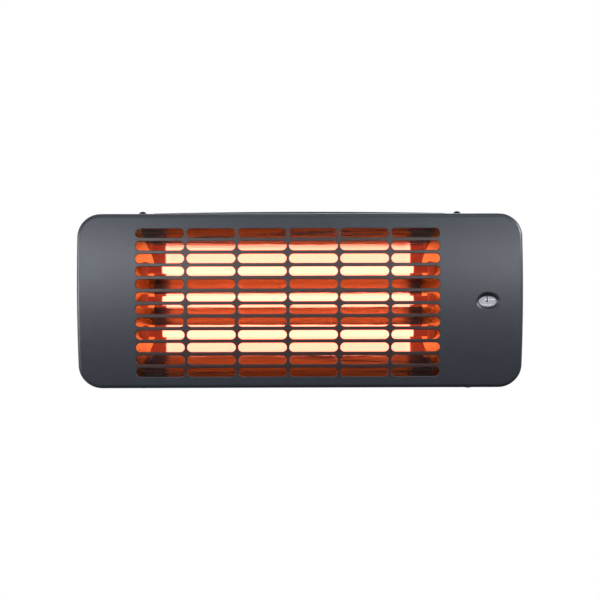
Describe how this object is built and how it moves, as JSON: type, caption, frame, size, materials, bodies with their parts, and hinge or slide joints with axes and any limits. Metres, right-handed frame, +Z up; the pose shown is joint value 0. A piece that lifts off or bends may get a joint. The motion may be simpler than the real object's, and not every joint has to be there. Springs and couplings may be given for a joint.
{
  "type": "electric bar heater",
  "caption": "Wall-hung quartz tube heater with a slotted crowned cover, polished reflector, pull switch with a numbered drum behind a window, and a tilting U bracket.",
  "frame": {"origin": "middle of the wall bracket's rear face, on the wall", "axes": "+X is the viewer's right along the heater, +Z up, +Y into the wall, so the heater faces -Y"},
  "size_m": [0.5, 0.1021, 0.2043],
  "materials": {
    "cover_paint": "satin dark grey powder coat",
    "shell_paint": "satin dark grey powder coat",
    "bracket_paint": "satin dark grey powder coat",
    "black_screw": "black domed steel",
    "polished_reflector": "polished",
    "quartz": "clear quartz, glowing",
    "filament": "wound resistance wire, glowing",
    "ceramic": "matt steatite",
    "zinc_steel": "zinc plated",
    "spring_steel": "spring wire",
    "brass": "plain",
    "lens": "clear moulded window",
    "drum_plastic": "white with plain red numbers",
    "switch_plastic": "black moulded",
    "lever_plastic": "white moulded",
    "knob_plastic": "black moulded",
    "gland_plastic": "black nylon",
    "clamp_plastic": "white moulded",
    "washer_fibre": "hard fibre",
    "brown_wire": "silicone insulation",
    "blue_wire": "silicone insulation",
    "earth_wire": "silicone insulation"
  },
  "bodies": {
    "bracket": {"wall_bracket": "bracket_paint"},
    "housing": {"shell_ear_left": "bracket_paint", "pivot_bolt_left": "zinc_steel", "friction_washer_left": "washer_fibre", "shell_ear_right": "bracket_paint", "pivot_bolt_right": "zinc_steel", "friction_washer_right": "washer_fibre", "front_cover": "cover_paint", "rear_shell": "shell_paint", "cover_screw_top_left": "black_screw", "cover_screw_bottom_left": "black_screw", "cover_screw_top_right": "black_screw", "cover_screw_bottom_right": "black_screw", "window_lens": "lens", "switch_body": "switch_plastic", "lever_spring": "spring_steel", "switch_bracket": "zinc_steel", "cord_bush": "knob_plastic", "reflector": "polished_reflector", "reflector_end_left": "polished_reflector", "reflector_end_right": "polished_reflector", "quartz_tube_top": "quartz", "filament_top": "filament", "ceramic_cap_top_left": "ceramic", "terminal_stud_top_left": "zinc_steel", "ceramic_cap_top_right": "ceramic", "terminal_stud_top_right": "zinc_steel", "quartz_tube_middle": "quartz", "filament_middle": "filament", "ceramic_cap_middle_left": "ceramic", "terminal_stud_middle_left": "zinc_steel", "ceramic_cap_middle_right": "ceramic", "terminal_stud_middle_right": "zinc_steel", "quartz_tube_bottom": "quartz", "filament_bottom": "filament", "ceramic_cap_bottom_left": "ceramic", "terminal_stud_bottom_left": "zinc_steel", "ceramic_cap_bottom_right": "ceramic", "terminal_stud_bottom_right": "zinc_steel", "neutral_link": "brass", "cable_gland": "gland_plastic", "cable_clamp": "clamp_plastic", "clamp_screw_1": "zinc_steel", "clamp_screw_2": "zinc_steel", "terminal_block": "clamp_plastic", "earth_screw": "brass", "thermal_cutout": "zinc_steel", "live_wire_top": "brown_wire", "live_wire_middle": "brown_wire", "live_wire_bottom": "brown_wire", "neutral_wire": "blue_wire", "feed_wire": "brown_wire", "cutout_wire": "brown_wire", "earth_wire": "earth_wire"},
    "knob_left": {"clamp_knob_left": "knob_plastic"},
    "knob_right": {"clamp_knob_right": "knob_plastic"},
    "selector": {"indicator_drum": "drum_plastic", "drum_shaft": "zinc_steel"},
    "lever": {"pull_lever": "lever_plastic"}
  },
  "joints": [
    {"name": "heater_tilt", "type": "hinge", "parent": "bracket", "child": "housing", "pos_m": [0, -0.036, 0], "axis": [1, 0, 0], "range_deg": [0, 40]},
    {"name": "knob_left_turn", "type": "hinge", "parent": "housing", "child": "knob_left", "pos_m": [-0.1046, -0.036, 0], "axis": [-1, 0, 0], "continuous": true},
    {"name": "knob_right_turn", "type": "hinge", "parent": "housing", "child": "knob_right", "pos_m": [0.1046, -0.036, 0], "axis": [1, 0, 0], "continuous": true},
    {"name": "selector_turn", "type": "hinge", "parent": "housing", "child": "selector", "pos_m": [0.21014, -0.08195, 0.0294], "axis": [1, 0, 0], "continuous": true},
    {"name": "lever_pull", "type": "hinge", "parent": "housing", "child": "lever", "pos_m": [0.21014, -0.08195, 0.0294], "axis": [-1, 0, 0], "range_deg": [0, 30], "stiffness_Nm_per_rad": 0.02, "springref_deg": -11.46}
  ]
}
